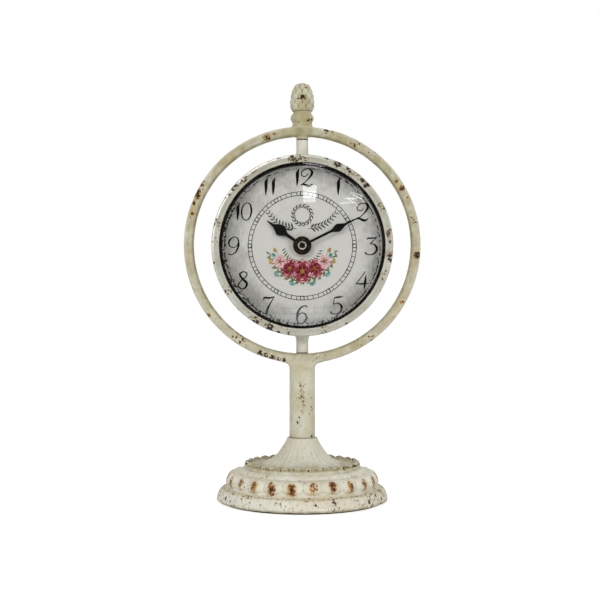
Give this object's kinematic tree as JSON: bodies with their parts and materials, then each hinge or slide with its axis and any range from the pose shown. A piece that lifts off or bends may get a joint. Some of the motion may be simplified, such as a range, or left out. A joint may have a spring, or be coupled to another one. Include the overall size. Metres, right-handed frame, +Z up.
{
  "type": "swing clock",
  "caption": "Round table clock that turns on upright pins inside a fixed cast ring, on a column with a gadrooned foot and a pine cone finial.",
  "frame": {"origin": "underside of the felt pad, under the middle of the base", "axes": "+Z up along the column and the swing axis, the dial faces -Y at rest, +X to the right as seen from the front"},
  "size_m": [0.1704, 0.1224, 0.3],
  "materials": {
    "cream_paint": "matt cream paint on cast iron, aged, with rust spots and chipped edges",
    "case_paint": "matt cream paint on sheet steel, aged and lightly worn",
    "felt": "dark felt",
    "steel": "zinc plated steel",
    "dark_nylon": "dark nylon",
    "black_rubber": "black rubber",
    "clear_glass": "clear domed glass",
    "black_plastic": "fine grained black plastic",
    "white_plastic": "natural acetal",
    "dial_face": "matt pale grey print, aged darker towards the edge",
    "brass": "aged brass",
    "copper_wire": "enamelled copper winding",
    "green_board": "green lacquered circuit board",
    "battery_jacket": "plain printed steel jacket",
    "black_hands": "satin black",
    "polished_nickel": "polished nickel",
    "magnet": "bare magnet"
  },
  "bodies": {
    "stand": {"base_pad": "felt", "base_foot": "cream_paint", "base_flare": "cream_paint", "base_washer": "steel", "base_nut": "steel", "tie_rod": "steel", "ring_frame": "cream_paint", "lower_thrust_washer": "dark_nylon", "upper_thrust_washer": "dark_nylon", "upper_pivot_rod": "steel", "finial_collar": "cream_paint", "finial_cone": "cream_paint"},
    "case": {"case_band": "case_paint", "upper_tube": "case_paint", "lower_tube": "case_paint", "bezel": "case_paint", "lens_gasket": "black_rubber", "lens": "clear_glass", "spacer_ring": "black_plastic", "dial": "dial_face", "back_cover": "case_paint", "back_screw_1": "steel", "back_screw_2": "steel", "back_screw_3": "steel", "back_screw_4": "steel", "movement_housing": "black_plastic", "movement_lid": "black_plastic", "middle_plate": "white_plastic", "train_bridge": "white_plastic", "rubber_washer": "black_rubber", "dial_washer": "brass", "dial_nut": "brass", "stator": "steel", "coil": "copper_wire", "circuit_board": "green_board", "positive_contact": "steel", "negative_contact": "steel"},
    "minute_set": {"minute_arbor": "brass", "minute_hand": "black_hands", "hand_washer": "brass", "cap_nut": "polished_nickel"},
    "hour_set": {"hour_wheel": "white_plastic", "hour_hand": "black_hands"},
    "minute_wheel": {"minute_wheel": "white_plastic"},
    "setting_knob": {"setting_knob": "white_plastic"},
    "centre_wheel": {"centre_wheel": "white_plastic"},
    "third_wheel": {"third_wheel": "white_plastic"},
    "second_wheel": {"second_wheel": "white_plastic"},
    "fifth_wheel": {"fifth_wheel": "white_plastic"},
    "rotor": {"rotor_pinion": "white_plastic", "rotor_magnet": "magnet"},
    "battery": {"battery": "battery_jacket"}
  },
  "joints": [
    {"name": "case_swing", "type": "hinge", "parent": "stand", "child": "case", "pos_m": [0, 0, 0.1825], "axis": [0, 0, 1], "continuous": true},
    {"name": "minute_turn", "type": "hinge", "parent": "case", "child": "minute_set", "pos_m": [0, 0, 0.1825], "axis": [0, 1, 0], "continuous": true},
    {"name": "hour_turn", "type": "hinge", "parent": "case", "child": "hour_set", "pos_m": [0, 0, 0.1825], "axis": [0, 1, 0], "continuous": true},
    {"name": "minute_wheel_turn", "type": "hinge", "parent": "case", "child": "minute_wheel", "pos_m": [-0.00463, 0, 0.18802], "axis": [0, 1, 0], "continuous": true},
    {"name": "setting_turn", "type": "hinge", "parent": "case", "child": "setting_knob", "pos_m": [-0.00926, 0, 0.19353], "axis": [0, 1, 0], "continuous": true},
    {"name": "rotor_turn", "type": "hinge", "parent": "case", "child": "rotor", "pos_m": [-0.01533, 0, 0.18028], "axis": [0, 1, 0], "continuous": true},
    {"name": "fifth_turn", "type": "hinge", "parent": "case", "child": "fifth_wheel", "pos_m": [-0.00924, 0, 0.1825], "axis": [0, 1, 0], "continuous": true},
    {"name": "second_turn", "type": "hinge", "parent": "case", "child": "second_wheel", "pos_m": [0, 0, 0.1825], "axis": [0, 1, 0], "continuous": true},
    {"name": "third_turn", "type": "hinge", "parent": "case", "child": "third_wheel", "pos_m": [0.00863, 0, 0.18564], "axis": [0, 1, 0], "continuous": true},
    {"name": "centre_turn", "type": "hinge", "parent": "case", "child": "centre_wheel", "pos_m": [0, 0, 0.1825], "axis": [0, 1, 0], "continuous": true},
    {"name": "battery_slide", "type": "slide", "parent": "case", "child": "battery", "axis": [0, 1, 0], "range_m": [0, 0.018]}
  ],
  "couplings": [
    {"joint": "hour_turn", "follows": "minute_turn", "ratio": 0.083333},
    {"joint": "minute_wheel_turn", "follows": "minute_turn", "ratio": -0.33333},
    {"joint": "setting_turn", "follows": "minute_turn", "ratio": 1},
    {"joint": "fifth_turn", "follows": "rotor_turn", "ratio": -0.2},
    {"joint": "second_turn", "follows": "rotor_turn", "ratio": 0.033333},
    {"joint": "third_turn", "follows": "rotor_turn", "ratio": -0.0044444},
    {"joint": "centre_turn", "follows": "rotor_turn", "ratio": 0.00055556}
  ]
}
